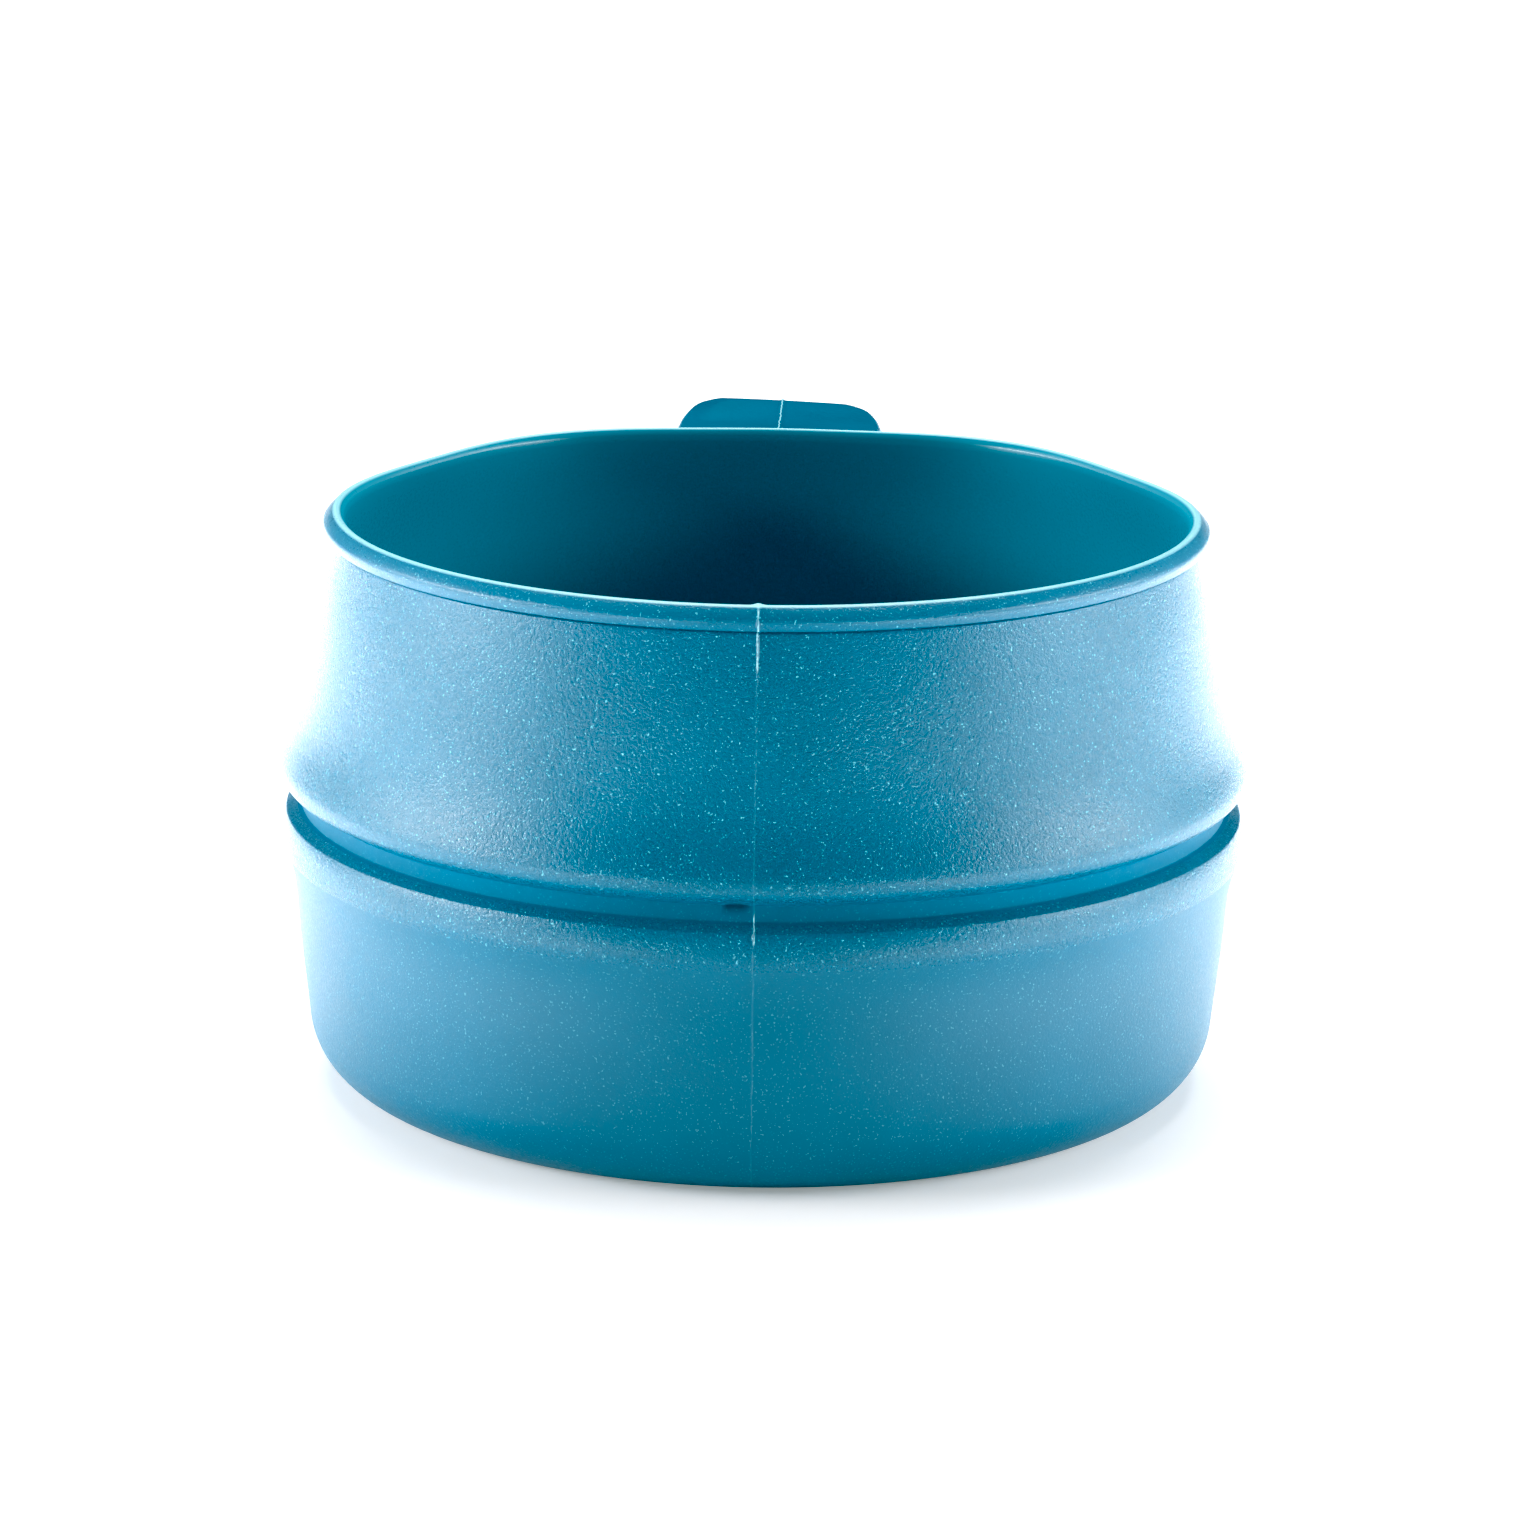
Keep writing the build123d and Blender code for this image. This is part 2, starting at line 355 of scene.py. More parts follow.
def flash(side, height, front):
    """How far the parting line stands proud. side is the distance from it along the wall."""
    present = between(height, FLASH_FROM, RIM_HEIGHT + 1, 0.4)
    if not front:
        return FLASH_BEHIND * present * bump(side, 0, FLASH_SPREAD)
    strong = between(height, BEAD_FOOT_HEIGHT - FLASH_AT_RIM_LENGTH, RIM_HEIGHT + 1, 0.12)
    wander = (0.05 * np.sin(height * 2.9) + 0.035 * np.sin(height * 7.3 + 1)) * strong
    uneven = 0.75 + 0.25 * np.sin(height * 5.1)
    tall = FLASH_FAINT + FLASH_AT_RIM * strong * uneven
    tall = tall + FLASH_AT_FOLD * between(height, *FOLD_HEIGHTS, 0.15)
    return tall * present * bump(side, wander, FLASH_SPREAD)


def nick(side, height):
    """The small moulding fault beside the front parting line, in the upper crease."""
    swell = NICK_SWELL[0] * bump(height, *NICK_SWELL[1:])
    dent = NICK_DENT[0] * bump(height, *NICK_DENT[1:])
    return between(side, *NICK_STRETCH, 0.18) * (swell - dent)


# The step and the least distance of the columns in degrees, and the wall's mean radius in mm.
COLUMN_STEP = 1.5
MEAN_RADIUS = 43
CLEARANCE = 0.3


def sweep_angles():
    """Angles about the axis, from +X, with close columns at both parting lines."""
    even = np.arange(0, 360, COLUMN_STEP)
    degree = 360 / (2 * math.pi * MEAN_RADIUS)
    near = np.array([0.06, 0.12, 0.18, 0.25, 0.35, 0.5, 0.75, 1.1]) * degree
    fine = np.concatenate([-near, [0], near])
    fault = -np.arange(0.9, 3.4, 0.25) * degree
    extra = np.concatenate([270 + FRONT_TURN + fine, 90 + fine, 270 + FRONT_TURN + fault])
    clear = [a for a in even if np.abs(extra - a).min() > CLEARANCE]
    return np.sort(np.concatenate([clear, extra]))


def wall_grid(section, angles, outer_count):
    """Every point of the wall: rows along the section, columns about the axis."""
    turn = np.radians(angles)[None, :]
    radius = section[:, 0][:, None]
    height = section[:, 1][:, None] + 0 * turn
    from_handle = (angles - 90 + 180) % 360 - 180
    radius = radius + out_of_round(from_handle[None, :], height) * (radius > 1)
    outer = (np.arange(len(section)) < outer_count)[:, None]
    from_front = ((angles - 270 - FRONT_TURN + 180) % 360 - 180)[None, :]
    front_side = from_front * math.pi / 180 * radius
    back_side = from_handle[None, :] * math.pi / 180 * radius
    near_front = np.abs(from_front) < 90
    proud = np.where(near_front, flash(front_side, height, True), flash(back_side, height, False))
    proud = proud + np.where(near_front, nick(front_side, height), 0)
    radius = radius + proud * outer * (height > 0.5)
    crest = bump(height, RIM_HEIGHT, 0.35)
    height = height + LIP_TAB * crest * bump(front_side, 0, 0.3) * near_front
    return np.stack([radius * np.cos(turn), radius * np.sin(turn), height], -1)


def row_normals(grid):
    """Normals of the wall grid. Row differences are weighted so that close rows count more."""
    ahead = np.diff(grid, axis=0)
    length = np.linalg.norm(ahead, axis=-1, keepdims=True) + 1e-9
    slope = ahead / length / length
    down = np.zeros_like(grid)
    down[:-1] += slope
    down[1:] += slope
    forward = np.roll(grid, -1, axis=1) - grid
    back = grid - np.roll(grid, 1, axis=1)
    lf = np.linalg.norm(forward, axis=-1, keepdims=True) + 1e-9
    lb = np.linalg.norm(back, axis=-1, keepdims=True) + 1e-9
    across = forward / lf / lf + back / lb / lb
    normal = np.cross(across, down)
    size = np.linalg.norm(normal, axis=-1, keepdims=True)
    return normal / np.where(size < 1e-12, 1, size)


# ---------------------------------------------------------------- meshes


def make_piece(name, body, nodes, material, points, faces, corner_normals=None):
    """One piece from points in millimetres, faces and, if given, a normal for each corner."""
    mesh = bpy.data.meshes.new(name)
    mesh.from_pydata([tuple(p) for p in np.asarray(points) * MM], [], faces)
    mesh.polygons.foreach_set("use_smooth", [True] * len(mesh.polygons))
    mesh.validate()
    mesh.update()
    if corner_normals is None:
        mesh.set_sharp_from_angle(angle=math.radians(35))
    else:
        mesh.normals_split_custom_set([tuple(n) for n in corner_normals])
    mesh.materials.append(material)
    piece = bpy.data.objects.new(name, mesh)
    bpy.context.scene.collection.objects.link(piece)
    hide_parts(*nodes)
    if body is not None:
        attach(piece, body)
    return piece


def ring_piece(name, body, material, loop, normals, caps):
    """A closed section swept about the axis. caps marks the section's flat cut sides."""
    rows, columns = loop.shape[:2]
    points = loop.reshape(-1, 3)
    faces, corner_normals = [], []
    for k in range(rows):
        below, above = k * columns, ((k + 1) % rows) * columns
        for j in range(columns):
            ahead = (j + 1) % columns
            face = (below + j, below + ahead, above + ahead, above + j)
            faces.append(face)
            if caps[k]:
                a, b, c = (points[face[i]] for i in (0, 1, 2))
                flat = np.cross(b - a, c - a)
                flat = flat / (np.linalg.norm(flat) + 1e-12)
                corner_normals += [flat] * 4
            else:
                corner_normals += [
                    normals[k, j],
                    normals[k, ahead],
                    normals[(k + 1) % rows, ahead],
                    normals[(k + 1) % rows, j],
                ]
    nodes = [name_to_node(name)]
    return make_piece(name, body, nodes, material, points, faces, corner_normals)


def name_to_node(name):
    """The CAD node that a piece stands for."""
    return name.removesuffix("_skin")


def panel_piece(material, bottom, top):
    """The round bottom panel, from rows of points about the axis, the first at the centre."""
    columns = bottom.shape[1]
    rings = [*bottom[1:], *top[:-1]]
    points = [bottom[0, 0], *np.concatenate(rings), top[-1, 0]]
    faces = [(0, 1 + (j + 1) % columns, 1 + j) for j in range(columns)]
    for k in range(len(rings) - 1):
        for j in range(columns):
            a, b = 1 + k * columns, 1 + (k + 1) * columns
            ahead = (j + 1) % columns
            faces.append((a + j, a + ahead, b + ahead, b + j))
    last = 1 + (len(rings) - 1) * columns
    pole = len(points) - 1
    faces += [(last + j, last + (j + 1) % columns, pole) for j in range(columns)]
    return make_piece(
        "base_panel_skin", "base", ["base_panel"], material, points, faces
    )


# ---------------------------------------------------------------- materials


def node_material(name):
    """An empty node material with its output and shader."""
    material = bpy.data.materials.new(name)
    material.use_nodes = True
    tree = material.node_tree
    tree.nodes.clear()
    output = tree.nodes.new("ShaderNodeOutputMaterial")
    shader = tree.nodes.new("ShaderNodeBsdfPrincipled")
    tree.links.new(shader.outputs["BSDF"], output.inputs["Surface"])
    return material, tree, shader


def add(tree, kind, **values):
    """A node with its settings and its unlinked inputs."""
    made = tree.nodes.new(kind)
    for key, value in values.items():
        if key in made.inputs:
            made.inputs[key].default_value = value
        else:
            setattr(made, key, value)
    return made


def noise(tree, place, scale, detail, roughness=0.5):
    """A noise in the cup's own space. The scale counts its features in a metre."""
    made = add(tree, "ShaderNodeTexNoise", Scale=scale, Detail=detail, Roughness=roughness)
    tree.links.new(place, made.inputs["Vector"])
    return made.outputs["Fac"]


def mapped(tree, value, low, high, new_low, new_high):
    """A value carried from one range to another."""
    made = add(tree, "ShaderNodeMapRange")
    tree.links.new(value, made.inputs["Value"])
    ends = (low, high, new_low, new_high)
    for key, number in zip(("From Min", "From Max", "To Min", "To Max"), ends):
        made.inputs[key].default_value = number
    return made.outputs["Result"]


def arithmetic(tree, operation, a, b):
    """One sum of two values or numbers."""
    made = add(tree, "ShaderNodeMath", operation=operation)
    for socket, value in zip(made.inputs, (a, b)):
        if isinstance(value, (int, float)):
            socket.default_value = value
        else:
            tree.links.new(value, socket)
    return made.outputs["Value"]


def mixed(tree, share, a, b):
    """A colour between two colours."""
    made = add(tree, "ShaderNodeMix", data_type="RGBA")
    tree.links.new(share, made.inputs["Factor"])
    for socket, value in ((made.inputs[6], a), (made.inputs[7], b)):
        if isinstance(value, tuple):
            socket.default_value = value
        else:
            tree.links.new(value, socket)
    return made.outputs[2]


# Colours of the plastic. The inner side is lighter, for the light that comes through the wall.
BLUE = (0.0, 0.126, 0.234, 1)
DEEP_BLUE = (0.0, 0.112, 0.210, 1)
INNER_BLUE = (0.0, 0.230, 0.350, 1)
SPECK_BLUE = (0.16, 0.62, 0.76, 1)
SPECK_SIZE = 0.21
# Pale colour of the painted highlights on the rim's crest and along the parting line.
PAINTED_HIGHLIGHT = (0.42, 0.84, 0.94, 1)
PLASTIC_IOR = 1.5

# The painted highlight along the parting line, in mm: its wander, its full and whole half width,
# and where it is strong.
SEAM_WANDER = 0.10
SEAM_CORE = 0.02
SEAM_EDGE = 0.10
SEAM_BRIGHT_FROM = (48.5, 49.5)
SEAM_FAINT = 0.10
SEAM_FOLD_LOW = (25.0, 25.4)
SEAM_FOLD_HIGH = (27.3, 27.7)
LOOP_SLANT = 0.36
LOOP_FROM = (57.6, 58.6)
LOOP_STRENGTH = 0.8


def ramp_mask(tree, value, full, none):
    """1 where a value is up to full, falling to 0 at none."""
    return mapped(tree, value, full, none, 1, 0)


def split(tree, place):
    """The three coordinates of a place."""
    parts = add(tree, "ShaderNodeSeparateXYZ")
    tree.links.new(place, parts.inputs[0])
    return [parts.outputs[axis] for axis in "XYZ"]


def step_up(tree, value, heights, new_low, new_high):
    """A value in metres carried over a range given in mm."""
    return mapped(tree, value, heights[0] * MM, heights[1] * MM, new_low, new_high)


def parting_highlight_mask(tree, place, outside):
    """Where the thin flash of the parting line is drawn out, with a painted highlight that makes it
    paler than the wall.
    """
    x, y, z = split(tree, place)
    drift = noise(tree, place, 700, 2)
    wander = mapped(tree, drift, 0.2, 0.8, -SEAM_WANDER * MM, SEAM_WANDER * MM)
    ahead = arithmetic(tree, "MINIMUM", y, 0)
    turned = arithmetic(tree, "MULTIPLY", ahead, math.tan(math.radians(FRONT_TURN)))
    side = arithmetic(tree, "ADD", x, arithmetic(tree, "ADD", turned, wander))
    distance = arithmetic(tree, "ABSOLUTE", side, 0)
    thin = ramp_mask(tree, distance, SEAM_CORE * MM, SEAM_EDGE * MM)
    patchy = mapped(tree, noise(tree, place, 1500, 1), 0.42, 0.6, 0.3, 1)
    front = ramp_mask(tree, y, -20 * MM, -10 * MM)
    reach = arithmetic(tree, "ADD", y, arithmetic(tree, "MULTIPLY", z, LOOP_SLANT))
    loop = step_up(tree, reach, LOOP_FROM, 0, LOOP_STRENGTH)
    high = step_up(tree, z, SEAM_BRIGHT_FROM, SEAM_FAINT, 1)
    fold_low = step_up(tree, z, SEAM_FOLD_LOW, 0, 1)
    fold_high = step_up(tree, z, SEAM_FOLD_HIGH, 1, 0)
    high = arithmetic(tree, "MAXIMUM", high, arithmetic(tree, "MULTIPLY", fold_low, fold_high))
    front = arithmetic(tree, "MULTIPLY", front, outside)
    strong = arithmetic(tree, "MULTIPLY", front, arithmetic(tree, "MULTIPLY", high, patchy))
    strong = arithmetic(tree, "MAXIMUM", strong, loop)
    return arithmetic(tree, "MULTIPLY", thin, strong)


def facing_out(tree, place):
    """Above 0 where the surface looks away from the axis, below 0 where it looks into the cup."""
    flat = add(tree, "ShaderNodeVectorMath", operation="MULTIPLY")
    tree.links.new(place, flat.inputs[0])
    flat.inputs[1].default_value = (1, 1, 0)
    facing = add(tree, "ShaderNodeVectorMath", operation="DOT_PRODUCT")
    tree.links.new(flat.outputs["Vector"], facing.inputs[0])
    tree.links.new(add(tree, "ShaderNodeTexCoord").outputs["Normal"], facing.inputs[1])
    return facing.outputs["Value"]


def plastic(name, grain_size, grain_depth, specks, rough, gloss=0.5):
    """Soft moulded plastic with spark-eroded grain, whose size and depth are in mm."""
    material, tree, shader = node_material(name)
    place = add(tree, "ShaderNodeTexCoord").outputs["Object"]
    cloud = noise(tree, place, 90, 3)
    grain = noise(tree, place, 1 / (grain_size * MM), 3, 0.6)
    fine = noise(tree, place, 2.6 / (grain_size * MM), 1)
    tone = mapped(tree, cloud, 0.3, 0.7, 0, 1)
    colour = mixed(tree, tone, DEEP_BLUE, BLUE)
    speck = noise(tree, place, 1 / (SPECK_SIZE * MM), 1)
    facing = facing_out(tree, place)
    outside = mapped(tree, facing, 0, 5 * MM, 0, 1)
    inward = mapped(tree, facing, -5 * MM, 0, 1, 0)
    tip = mapped(tree, speck, 0.65, 0.75, 0, specks)
    tip = arithmetic(tree, "MULTIPLY", tip, outside)
    colour = mixed(tree, inward, colour, INNER_BLUE)
    colour = mixed(tree, tip, colour, SPECK_BLUE)
    height = split(tree, place)[2]
    # Painted highlight: a pale line laid along the crest of the rim.
    crest = step_up(tree, height, (RIM_HEIGHT - 0.22, RIM_HEIGHT - 0.06), 0, 0.8)
    colour = mixed(tree, crest, colour, PAINTED_HIGHLIGHT)
    # Painted highlight along the flash of the parting line.
    colour = mixed(tree, parting_highlight_mask(tree, place, outside), colour, PAINTED_HIGHLIGHT)
    tree.links.new(colour, shader.inputs["Base Color"])
    spread = mapped(tree, cloud, 0.2, 0.8, rough - 0.03, rough + 0.03)
    spread = arithmetic(tree, "ADD", spread, mapped(tree, grain, 0.3, 0.7, -0.06, 0.06))
    tree.links.new(spread, shader.inputs["Roughness"])
    depth = arithmetic(tree, "ADD", grain, arithmetic(tree, "MULTIPLY", fine, 0.35))
    depth = arithmetic(tree, "MULTIPLY", depth, mapped(tree, outside, 0, 1, 0.15, 1))
    relief = add(tree, "ShaderNodeBump", Strength=1.0, Distance=grain_depth * MM)
    tree.links.new(depth, relief.inputs["Height"])
    tree.links.new(relief.outputs["Normal"], shader.inputs["Normal"])
    shader.inputs["IOR"].default_value = PLASTIC_IOR
    shader.inputs["Specular IOR Level"].default_value = gloss
    return material


GRAINED = plastic("grained_plastic", grain_size=0.32, grain_depth=0.075, specks=0.9, rough=0.29)
FINE = plastic("fine_plastic", grain_size=0.3, grain_depth=0.03, specks=0.35, rough=0.40)
BEAD = plastic("bead_plastic", grain_size=0.3, grain_depth=0.05, specks=0.7, rough=0.32)
BAND = plastic(
    "band_plastic", grain_size=0.36, grain_depth=0.02, specks=0.2, rough=0.60, gloss=0.15
)
SMOOTH = plastic("smooth_plastic", grain_size=0.4, grain_depth=0.012, specks=0.0, rough=0.34)


# ---------------------------------------------------------------- the cup

section, borders = finished_section()
angles = sweep_angles()
crest_row = int(np.argmax(section[:, 1]))
grid = wall_grid(section, angles, crest_row)
normals = row_normals(grid)

# The borders run up the outside, from the centre to the panel's edge and the cuts, and then down
# the inside.
up = [i for i in borders if i <= crest_row]
down_side = [i for i in borders if i > crest_row]
outer_rows = up[1:]
inner_rows = down_side[:-1][::-1]


def zone(name, body, material, index):
    """The zone between two borders of the wall, closed by its cut faces."""
    a, b = outer_rows[index], outer_rows[index + 1]
    c, d = inner_rows[index + 1], inner_rows[index]
    rows = list(range(a, b + 1)) + list(range(c, d + 1))
    caps = [False] * len(rows)
    caps[b - a] = caps[-1] = True
    return ring_piece(name, body, material, grid[rows], normals[rows], caps)


def rim_zone():
    """The bead with its lip, closed by one cut face."""
    rows = list(range(outer_rows[6], inner_rows[6] + 1))
    caps = [False] * len(rows)
    caps[-1] = True
    return ring_piece(
        "rim_bead_skin", "upper_cup", BEAD, grid[rows], normals[rows], caps
    )


panel_piece(FINE, grid[: outer_rows[0] + 1], grid[inner_rows[0] :])
corner_piece = zone("base_corner_skin", None, FINE, 0)
lower_piece = zone("lower_wall_skin", None, FINE, 1)
zone("lower_ridge_skin", "upper_cup", GRAINED, 2)
zone("fold_band_skin", "upper_cup", BAND, 3)
zone("upper_ridge_skin", "upper_cup", GRAINED, 4)
zone("upper_wall_skin", "upper_cup", GRAINED, 5)
rim_zone()


def fold(piece):
    """Bakes the piece's placement into its points."""
    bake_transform(piece)


fold(corner_piece)
fold(lower_piece)


# ---------------------------------------------------------------- handle

HANDLE_REACH = 60.2
HANDLE_FOOT_REACH = 58.0
HANDLE_FOOT_HEIGHT = 34.6
HANDLE_TOP_BEND = 4.0
HANDLE_FOOT_BEND = 6.0
HANDLE_SIDE = [
    (HANDLE_ROOT_HALF - 0.4, 40.4),
    (9.6, 50.0),
    (8.4, 53.6),
    (6.5, 56.2),
    (6.2, HANDLE_REACH),
]
HANDLE_TWIST = 2.0
HANDLE_START = 37.0
HANDLE_END = 42.0
ROOT_STRETCH = 9.0
STRAP_EDGE = 0.8
SEAM_RIB = 0.14
STRAP_CROWN = 0.06
ROOT_THICKENING = 0.15
ROOT_WIDENING = 0.2
ROOT_FLARE_START = 3.4
ROOT_FLARE_LENGTH = 1.1


def handle_line():
    """Middle line of the strap in the plane of the handle, as distances along Y and heights."""
    half = HANDLE_THICKNESS / 2
    corners = np.array([
        (HANDLE_START, HANDLE_TOP - half),
        (HANDLE_REACH - half, HANDLE_TOP - half),
        (HANDLE_FOOT_REACH - half, HANDLE_FOOT_HEIGHT),
        (HANDLE_END, HANDLE_FOOT_HEIGHT),
    ])
    out = [corners[:1]]
    for i, radius in ((1, HANDLE_TOP_BEND), (2, HANDLE_FOOT_BEND)):
        p = corners[i]
        a = (corners[i - 1] - p) / np.linalg.norm(corners[i - 1] - p)
        b = (corners[i + 1] - p) / np.linalg.norm(corners[i + 1] - p)
        half_angle = math.acos(float(a @ b)) / 2
        centre = p + (a + b) / np.linalg.norm(a + b) * radius / math.sin(half_angle)
        first = p + a * radius / math.tan(half_angle) - centre
        last = p + b * radius / math.tan(half_angle) - centre
        start = math.atan2(first[1], first[0])
        turn = (math.atan2(last[1], last[0]) - start + math.pi) % (2 * math.pi) - math.pi
        steps = start + turn * np.linspace(0, 1, 40)
        out.append(centre + radius * np.stack([np.cos(steps), np.sin(steps)], -1))
    out.append(corners[-1:])
    joined = np.concatenate(out)
    t = np.concatenate([[0], np.cumsum(np.linalg.norm(np.diff(joined, axis=0), axis=1))])
    even = np.linspace(0, t[-1], 150)
    return np.stack([np.interp(even, t, joined[:, c]) for c in (0, 1)], -1)


handle_side = spline(HANDLE_SIDE, (0, 1), (0, 1))


def plan_half_width(y):
    """Half the width of the handle, seen from above, at a distance from the axis."""
    return np.interp(y, handle_side[:, 1], handle_side[:, 0])


def wall_middle(x, z):
    """Distance along Y to the middle of the wall's thickness, behind a point of the handle."""
    rising = section[: crest_row + 1]
    radius = np.interp(z, rising[:, 1], rising[:, 0])
    y = np.sqrt(np.clip(radius**2 - x**2, 1, None))
    for _ in range(4):
        angle = np.degrees(np.arctan2(x, y))
        r = radius + out_of_round(angle, z) - WALL / 2
        y = np.sqrt(np.clip(r**2 - x**2, 1, None))
    return y


def rooted(points, start):
    """The strap's end drawn to the middle of the wall, so that it stops inside it."""
    x, y, z = points.T
    wall = wall_middle(x, z)
    share = np.clip((y - start) / ROOT_STRETCH, 0, 1)
    moved = wall + share * (start + ROOT_STRETCH - wall)
    return np.where(y < start + ROOT_STRETCH, moved, y)


def strap_loop():
    """The strap's section: shares of the half width, and offsets from its middle, anticlockwise."""
    half = HANDLE_THICKNESS / 2
    across = np.array([1, 0.75, 0.5, 0.25, 0.08, 0.045, 0.025, 0.012])
    across = np.concatenate([across, [0], -across[::-1]])
    loop = []
    for face in (1, -1):
        loop += [(face * s, face * half, 0.0) for s in across]
        turn = np.radians(np.linspace(90, -90, 9)[1:-1])
        loop += [(-face, face * half * math.sin(a), -face * STRAP_EDGE * math.cos(a)) for a in turn]
    return np.array(loop)


def handle_grid():
    """Points of the strap: rows along it, columns around it."""
    path = handle_line()
    ahead = np.gradient(path, axis=0)
    ahead /= np.linalg.norm(ahead, axis=1, keepdims=True)
    outward = np.stack([-ahead[:, 1], ahead[:, 0]], -1)
    loop = strap_loop()
    middle = (HANDLE_TOP + HANDLE_FOOT_HEIGHT) / 2
    rows = []
    for p, n in zip(path, outward):
        start = HANDLE_START if p[1] > middle else HANDLE_END
        rib = SEAM_RIB * bump(loop[:, 0] * 9, 0, 0.16) * np.sign(loop[:, 1])
        near = np.exp(-max(p[0] - start - ROOT_FLARE_START, 0) / ROOT_FLARE_LENGTH)
        crown = STRAP_CROWN * (1 - loop[:, 0] ** 2) * np.sign(loop[:, 1])
        offset = loop[:, 1] * (1 + ROOT_THICKENING * near) + rib + crown
        flat = p[None, :] + n[None, :] * offset[:, None]
        half = plan_half_width(flat[:, 0]) - STRAP_EDGE + ROOT_WIDENING * near
        row = np.stack([loop[:, 0] * half + loop[:, 2], flat[:, 0], flat[:, 1]], -1)
        twist = math.radians(HANDLE_TWIST) * np.clip((row[:, 1] - 44) / 12, 0, 1)
        row[:, 2] -= row[:, 0] * twist
        row[:, 1] = rooted(row, start)
        rows.append(row)
    return np.array(rows), path


def strap_piece(name, rows):
    """A stretch of the strap, closed at both ends."""
    count, around = rows.shape[:2]
    points = rows.reshape(-1, 3)
    faces = []
    for i in range(count - 1):
        for k in range(around):
            a, b = i * around, (i + 1) * around
            ahead = (k + 1) % around
            faces.append((a + k, b + k, b + ahead, a + ahead))
    faces.append(tuple(range(around)))
    faces.append(tuple(range((count - 1) * around, count * around))[::-1])
    return make_piece(
        name, "upper_cup", [name_to_node(name)], SMOOTH, points, faces
    )


strap, strap_path = handle_grid()
beyond = np.flatnonzero(strap_path[:, 0] > HANDLE_SPLIT)
first, last = beyond[0], beyond[-1]
strap_piece("handle_top_arm_skin", strap[: first + 1])
strap_piece("handle_outer_strap_skin", strap[first : last + 1])
strap_piece("handle_lower_arm_skin", strap[last:])


# ---------------------------------------------------------------- stage, light and camera


# Distances on the stage are in metres. The floor's bounce goes from its first strength to its
# second between two distances from the middle; the near part, in front of the cup, adds to it.
FLOOR_SIDE = 6.0
FLOOR_WHITE = (0.92, 0.92, 0.92, 1)
FLOOR_GLOW = 0.3
FLOOR_BOUNCE = (0.56, 3.0)
BOUNCE_FROM_TO = (0.03, 0.10)
NEAR_BOUNCE = 0.55
NEAR_FROM_TO = (-0.10, -0.06)
SIDE_GLOW = 0.6
SOFTBOX_DISTANCE = 0.9
SOFTBOX_TARGET = (0, 0, 0.03)

# Name, azimuth and elevation in degrees, width, height, power.
SOFTBOXES = [
    ("left_softbox", -91, 20, 0.8, 0.25, 4.4),
    ("left_low_softbox", -78, 18, 0.55, 0.12, 5.2),
    ("right_softbox", 91, 20, 0.8, 0.25, 4.4),
    ("right_low_softbox", 80, 18, 0.6, 0.12, 3.0),
    ("top_softbox", 180, 72, 0.8, 0.5, 9),
]


def stage_floor():
    """A floor that the camera sees as plain white, and that throws uneven light on the cup."""
    mesh = bpy.data.meshes.new("floor")
    side = FLOOR_SIDE
    corners = [(-side, -side, 0), (side, -side, 0), (side, side, 0), (-side, side, 0)]
    mesh.from_pydata(corners, [], [(0, 1, 2, 3)])
    material, tree, shader = node_material("floor_white")
    shader.inputs["Base Color"].default_value = FLOOR_WHITE
    shader.inputs["Roughness"].default_value = 0.8
    shader.inputs["Emission Color"].default_value = (1, 1, 1, 1)
    shader.inputs["Emission Strength"].default_value = FLOOR_GLOW
    x, y, _ = split(tree, add(tree, "ShaderNodeTexCoord").outputs["Object"])
    sideways = arithmetic(tree, "ABSOLUTE", x, 0)
    dull = add(tree, "ShaderNodeBsdfDiffuse")
    bounce = mapped(tree, sideways, *BOUNCE_FROM_TO, *FLOOR_BOUNCE)
    near = mapped(tree, y, *NEAR_FROM_TO, 0, NEAR_BOUNCE)
    near = arithmetic(tree, "MULTIPLY", near, mapped(tree, sideways, *BOUNCE_FROM_TO, 1, 0))
    tree.links.new(arithmetic(tree, "ADD", bounce, near), dull.inputs["Color"])
    rays = add(tree, "ShaderNodeLightPath")
    blend = add(tree, "ShaderNodeMixShader")
    tree.links.new(rays.outputs["Is Camera Ray"], blend.inputs["Fac"])
    tree.links.new(dull.outputs["BSDF"], blend.inputs[1])
    tree.links.new(shader.outputs["BSDF"], blend.inputs[2])
    output = next(n for n in tree.nodes if n.type == "OUTPUT_MATERIAL")
    tree.links.new(blend.outputs["Shader"], output.inputs["Surface"])
    mesh.materials.append(material)
    floor = bpy.data.objects.new("floor", mesh)
    bpy.context.scene.collection.objects.link(floor)


def direction(azimuth, elevation):
    """Direction away from the cup. Azimuth 0 is the front, and positive is to the right."""
    a, e = math.radians(azimuth), math.radians(elevation)
    return Vector((math.sin(a) * math.cos(e), -math.cos(a) * math.cos(e), math.sin(e)))


def softbox(name, azimuth, elevation, width, height, power):
    """A soft panel light that faces the cup."""
    data = bpy.data.lights.new(name, "AREA")
    data.shape = "RECTANGLE"
    data.size, data.size_y = width, height
    data.energy = power
    lamp = bpy.data.objects.new(name, data)
    lamp.visible_camera = False
    bpy.context.scene.collection.objects.link(lamp)
    away = direction(azimuth, elevation)
    lamp.location = Vector(SOFTBOX_TARGET) + away * SOFTBOX_DISTANCE
    lamp.rotation_euler = away.to_track_quat("Z", "Y").to_euler()


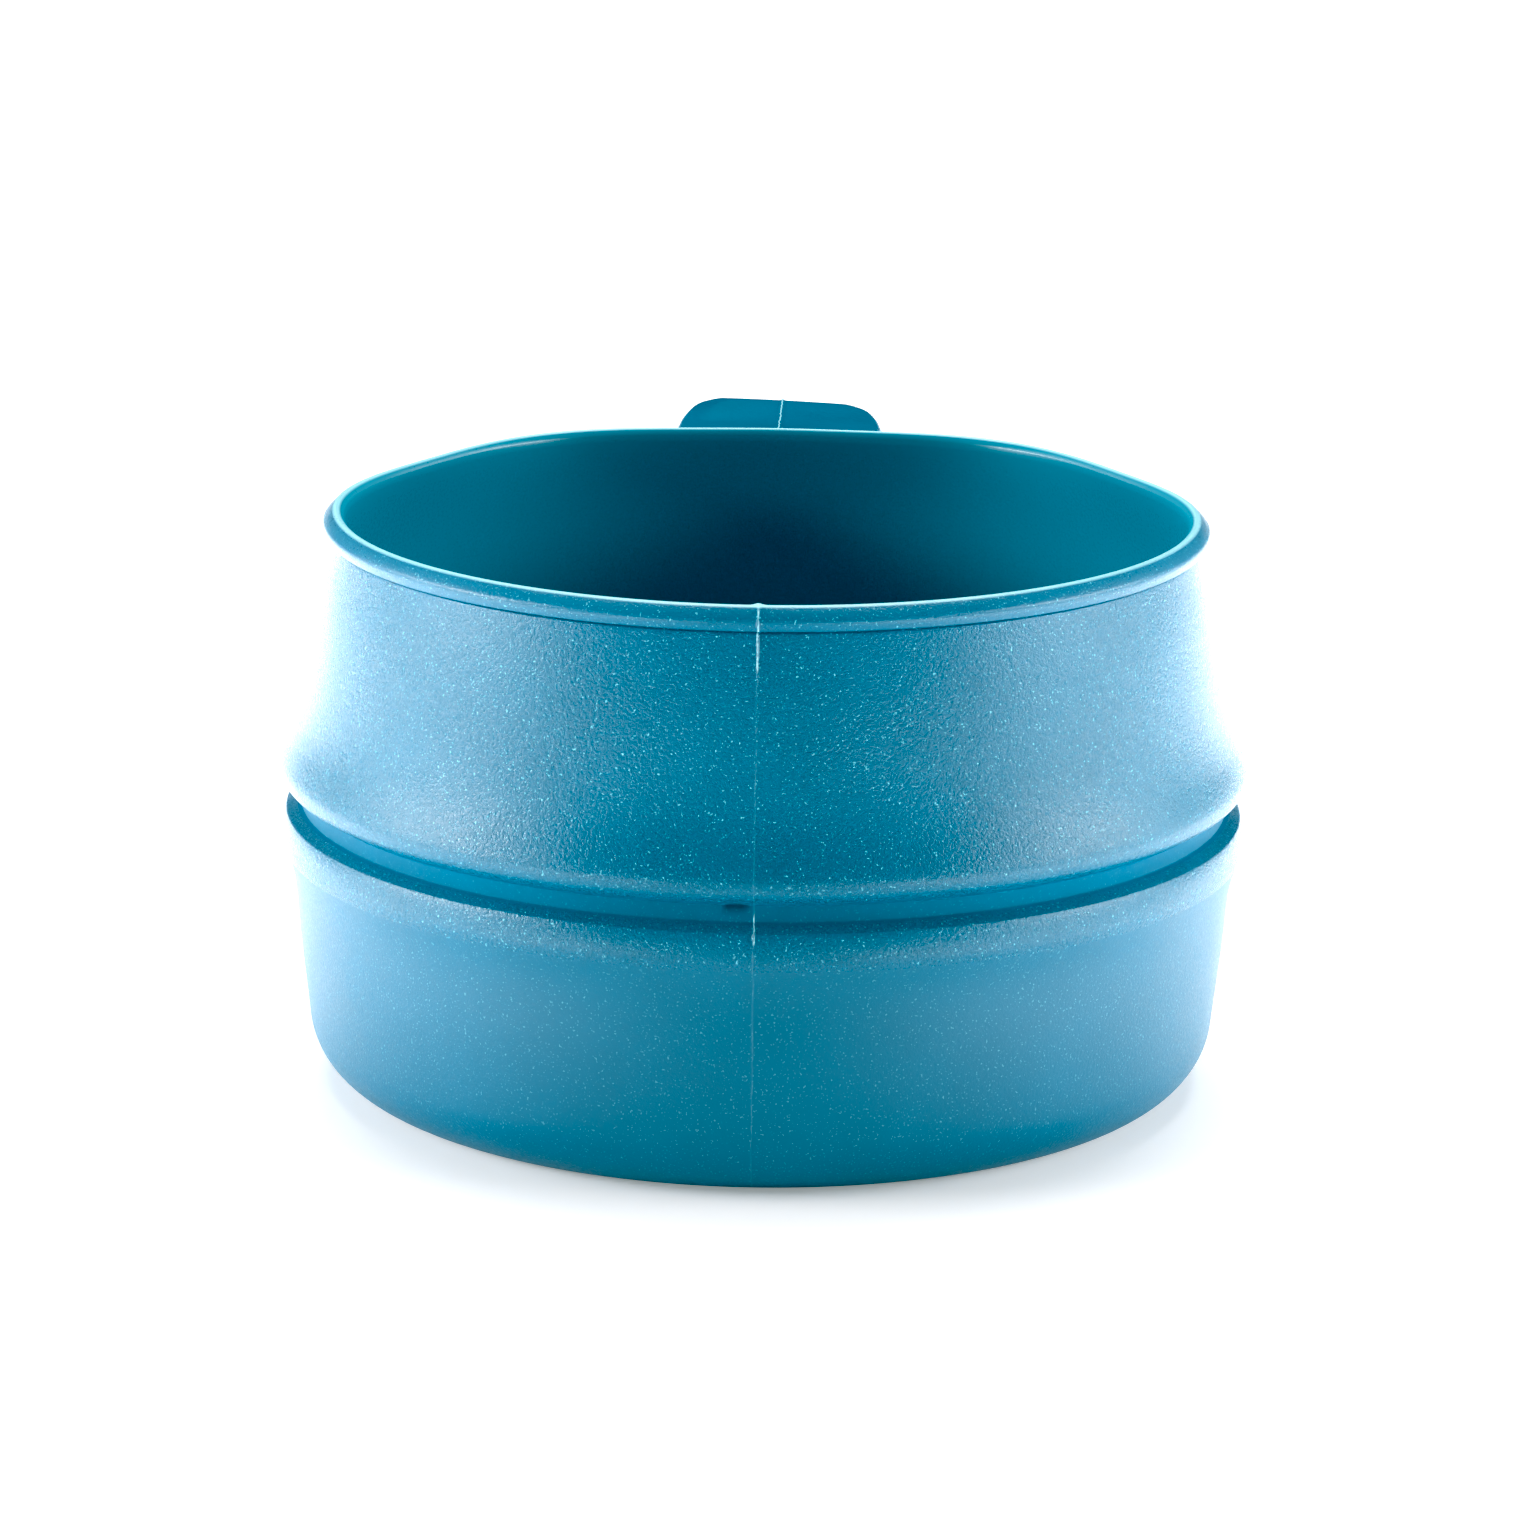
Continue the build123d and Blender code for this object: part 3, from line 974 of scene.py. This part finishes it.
def surroundings():
    """A white room behind the object, with dim light from both sides and none from the front."""
    world = bpy.data.worlds.new("room")
    bpy.context.scene.world = world
    world.use_nodes = True
    tree = world.node_tree
    tree.nodes.clear()
    output = tree.nodes.new("ShaderNodeOutputWorld")
    background = tree.nodes.new("ShaderNodeBackground")
    tree.links.new(background.outputs["Background"], output.inputs["Surface"])
    x, y, _ = split(tree, add(tree, "ShaderNodeTexCoord").outputs["Generated"])
    sides = mapped(tree, arithmetic(tree, "ABSOLUTE", x, 0), 0.15, 0.7, 0.0, 1.0)
    behind = mapped(tree, y, -0.5, 0.4, 0.0, 1.0)
    dim = arithmetic(tree, "MULTIPLY", arithmetic(tree, "MULTIPLY", sides, behind), SIDE_GLOW)
    rays = add(tree, "ShaderNodeLightPath").outputs["Is Camera Ray"]
    strength = add(tree, "ShaderNodeMix", data_type="FLOAT")
    tree.links.new(rays, strength.inputs[0])
    tree.links.new(dim, strength.inputs[2])
    strength.inputs[3].default_value = 1.0
    tree.links.new(strength.outputs[0], background.inputs["Strength"])
    background.inputs["Color"].default_value = (1, 1, 1, 1)


CAMERA_DISTANCE = 0.6003
CAMERA_AZIMUTH = 1.45
CAMERA_ELEVATION = 14.7
CAMERA_ROLL = 0.76
CAMERA_LENS = 147.7
CAMERA_TARGET = (0.0006, 0.0, 0.02923)


def camera():
    """The camera, at the height and distance that the cup was seen from."""
    data = bpy.data.cameras.new("camera")
    data.lens = CAMERA_LENS
    data.sensor_width = 36
    data.clip_start, data.clip_end = 0.01, 50
    made = bpy.data.objects.new("camera", data)
    bpy.context.scene.collection.objects.link(made)
    back = direction(CAMERA_AZIMUTH, CAMERA_ELEVATION)
    made.location = Vector(CAMERA_TARGET) + back * CAMERA_DISTANCE
    made.rotation_mode = "QUATERNION"
    tilt = Quaternion((0, 0, 1), math.radians(CAMERA_ROLL))
    made.rotation_quaternion = back.to_track_quat("Z", "Y") @ tilt
    bpy.context.scene.camera = made


BLACK_LEVEL = (0.050, 0.0, 0.0)
WHITE_LEVEL = (1.0, 1.0, 1.0)


def film():
    """A plain transfer with a black level on red, which drops out first in this pure blue."""
    view = bpy.context.scene.view_settings
    view.view_transform = "Standard"
    view.use_curve_mapping = True
    view.curve_mapping.black_level = BLACK_LEVEL
    view.curve_mapping.white_level = WHITE_LEVEL
    view.curve_mapping.update()


stage_floor()
surroundings()
for settings in SOFTBOXES:
    softbox(*settings)
camera()
film()
